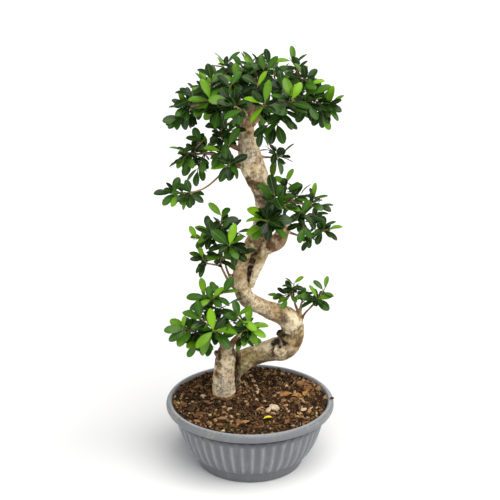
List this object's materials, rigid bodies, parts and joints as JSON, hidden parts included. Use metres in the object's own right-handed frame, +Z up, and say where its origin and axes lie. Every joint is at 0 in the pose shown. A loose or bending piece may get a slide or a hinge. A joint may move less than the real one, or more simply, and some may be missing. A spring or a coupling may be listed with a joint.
{
  "type": "ficus ginseng bonsai",
  "caption": "Ficus bonsai with a twice bent pale trunk, leafy pads and a round crown, in a fluted round bowl of soil.",
  "frame": {"origin": "centre of the bowl's foot, on the surface that it stands on", "axes": "+Z up the bowl's axis, +X to the right and -Y towards the viewer in the picture"},
  "size_m": [0.3169, 0.2998, 0.7509],
  "materials": {
    "bowl_plastic": "slate blue-grey moulded plastic, satin, worn pale on the rim",
    "potting_soil": "dark brown bark and peat crumbs with white grit and orange bark chips",
    "bark": "pale tan to cream bark with brown creases, greenish on the lower arm",
    "leaf": "glossy dark green leaves with a paler rib, young ones bright yellow-green"
  },
  "bodies": {
    "root": {"bowl": "bowl_plastic", "soil": "potting_soil", "trunk": "bark", "crown_left_end": "leaf", "crown_left_front": "leaf", "crown_left_low": "leaf", "crown_tip_left": "leaf", "crown_inner_left": "leaf", "crown_top": "leaf", "crown_top_front": "leaf", "crown_front_low": "leaf", "crown_front_left": "leaf", "crown_front_right": "leaf", "crown_under": "leaf", "crown_right_mid": "leaf", "crown_right_end": "leaf", "crown_tip_right": "leaf", "crown_right_up": "leaf", "crown_right_in": "leaf", "crown_back_far": "leaf", "crown_back_left_end": "leaf", "crown_back_left_mid": "leaf", "crown_back_right_end": "leaf", "crown_back_right_mid": "leaf", "crown_back_low": "leaf", "left_tip": "leaf", "left_mid": "leaf", "left_front": "leaf", "left_upper": "leaf", "left_centre": "leaf", "left_low_mid": "leaf", "left_low_end": "leaf", "right_twig_end": "leaf", "right_front": "leaf", "right_high_tip": "leaf", "right_high_near": "leaf", "right_high_mid": "leaf", "right_high_end": "leaf", "right_mid": "leaf", "right_back_in": "leaf", "right_back_out": "leaf", "right_arm_end": "leaf", "right_arm_low": "leaf", "mid_top": "leaf", "mid_front": "leaf", "mid_left_tip": "leaf", "mid_low_end": "leaf", "mid_low_front": "leaf", "mid_back": "leaf", "bend_top": "leaf", "bend_mid": "leaf", "bend_end": "leaf", "base_top": "leaf", "base_mid_up": "leaf", "base_front": "leaf", "base_left_end": "leaf", "base_left_low": "leaf", "base_right_end": "leaf", "base_near": "leaf", "base_back": "leaf"}
  },
  "joints": []
}
